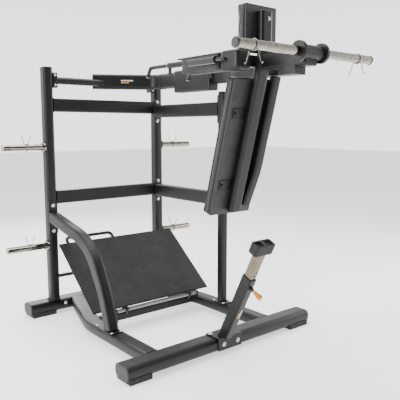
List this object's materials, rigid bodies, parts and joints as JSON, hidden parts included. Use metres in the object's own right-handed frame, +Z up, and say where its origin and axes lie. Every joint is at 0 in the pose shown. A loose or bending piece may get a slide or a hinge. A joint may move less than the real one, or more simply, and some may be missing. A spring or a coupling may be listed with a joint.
{
  "type": "pendulum hack squat machine",
  "caption": "Plate-loaded pendulum hack squat: a reclined back pad on a swinging side arm, tilted foot plate, twin rear posts with storage pegs, and an adjustable travel stop.",
  "frame": {"origin": "on the floor, at the centre of the machine's bounding box", "axes": "+Z up, +Y towards the rear posts that the user faces, +X towards the side with the swing arm"},
  "size_m": [1.7726, 2.3224, 2.208],
  "materials": {
    "black_powder_coat": "satin black powder coat with a fine texture",
    "grey_paint": "light grey satin paint",
    "chrome": "hard chrome plate",
    "bare_steel": "brushed, zinc-nickel tint",
    "vinyl": "black grained upholstery vinyl",
    "rubber": "matte black rubber",
    "black_plastic": "moulded black plastic",
    "orange_knob": "orange moulded plastic"
  },
  "bodies": {
    "base_frame": {"base_rail_left": "black_powder_coat", "base_rail_right": "black_powder_coat", "entry_tube": "black_powder_coat", "foot_plate_beam": "black_powder_coat", "foot_plate_hinge_bar": "grey_paint", "foot_plate_tie_bar": "black_powder_coat", "front_base_bar": "black_powder_coat", "front_foot_left": "rubber", "front_foot_right": "rubber", "front_post": "black_powder_coat", "lower_crossbar": "black_powder_coat", "lower_side_beam": "black_powder_coat", "pivot_bearing_left": "black_powder_coat", "pivot_bearing_right": "black_powder_coat", "rear_base_bar": "black_powder_coat", "rear_foot_left": "rubber", "rear_foot_right": "rubber", "rear_post_left": "black_powder_coat", "rear_post_right": "black_powder_coat", "stop_post": "black_powder_coat", "stop_post_bracket": "black_powder_coat", "storage_peg_lower_left": "chrome", "storage_peg_lower_right": "chrome", "storage_peg_upper_left": "chrome", "storage_peg_upper_right": "chrome", "upper_crossbar": "black_powder_coat", "upper_side_beam": "black_powder_coat"},
    "swing_arm": {"arm_front_section": "black_powder_coat", "arm_pivot_tube": "black_powder_coat", "arm_rear_section": "black_powder_coat", "back_pad": "vinyl", "back_pad_board": "black_plastic", "carriage_crosshead": "black_powder_coat", "carriage_side_tube": "black_powder_coat", "carriage_spine": "black_powder_coat", "grab_handle_left": "black_powder_coat", "grab_handle_right": "black_powder_coat", "head_pad": "vinyl", "head_pad_board": "black_plastic", "horn_beam": "black_powder_coat", "horn_end_plug_left": "black_plastic", "horn_end_plug_right": "black_plastic", "loading_horn_left": "chrome", "loading_horn_right": "chrome", "shoulder_pad_left": "vinyl", "shoulder_pad_right": "vinyl", "side_hand_grip": "black_plastic"},
    "foot_plate": {"foot_plate": "black_powder_coat", "foot_plate_grip_sheet": "rubber", "foot_plate_handle": "black_powder_coat"},
    "stop_slider": {"stop_slider": "bare_steel", "stop_bumper": "rubber"},
    "stop_pin": {"stop_pull_pin": "bare_steel", "stop_pull_knob": "orange_knob"},
    "horn_clip_left": {"horn_clip_left": "chrome"},
    "horn_clip_right": {"horn_clip_right": "chrome"},
    "peg_clip_lower_left": {"peg_clip_lower_left": "chrome"},
    "peg_clip_lower_right": {"peg_clip_lower_right": "chrome"},
    "peg_clip_upper_left": {"peg_clip_upper_left": "chrome"},
    "peg_clip_upper_right": {"peg_clip_upper_right": "chrome"}
  },
  "joints": [
    {"name": "arm_swing", "type": "hinge", "parent": "base_frame", "child": "swing_arm", "pos_m": [0, 1.05875, 1.87], "axis": [1, 0, 0], "range_deg": [0, 27.2]},
    {"name": "foot_plate_tilt", "type": "hinge", "parent": "base_frame", "child": "foot_plate", "pos_m": [0, 0.31575, 0.17], "axis": [1, 0, 0], "range_deg": [0, 6]},
    {"name": "stop_height", "type": "slide", "parent": "base_frame", "child": "stop_slider", "axis": [0, 0.4462, -0.8949], "range_m": [0, 0.12]},
    {"name": "stop_pin_pull", "type": "slide", "parent": "base_frame", "child": "stop_pin", "axis": [0, -0.8949, -0.4462], "range_m": [-0.0085, 0]},
    {"name": "horn_clip_left_slide", "type": "slide", "parent": "swing_arm", "child": "horn_clip_left", "axis": [-1, 0, 0], "range_m": [-0.2, 0.09]},
    {"name": "horn_clip_right_slide", "type": "slide", "parent": "swing_arm", "child": "horn_clip_right", "axis": [1, 0, 0], "range_m": [-0.2, 0.09]},
    {"name": "peg_clip_lower_left_slide", "type": "slide", "parent": "base_frame", "child": "peg_clip_lower_left", "axis": [-1, 0, 0], "range_m": [-0.1, 0.15]},
    {"name": "peg_clip_lower_right_slide", "type": "slide", "parent": "base_frame", "child": "peg_clip_lower_right", "axis": [1, 0, 0], "range_m": [-0.1, 0.15]},
    {"name": "peg_clip_upper_left_slide", "type": "slide", "parent": "base_frame", "child": "peg_clip_upper_left", "axis": [-1, 0, 0], "range_m": [-0.1, 0.15]},
    {"name": "peg_clip_upper_right_slide", "type": "slide", "parent": "base_frame", "child": "peg_clip_upper_right", "axis": [1, 0, 0], "range_m": [-0.1, 0.15]}
  ]
}
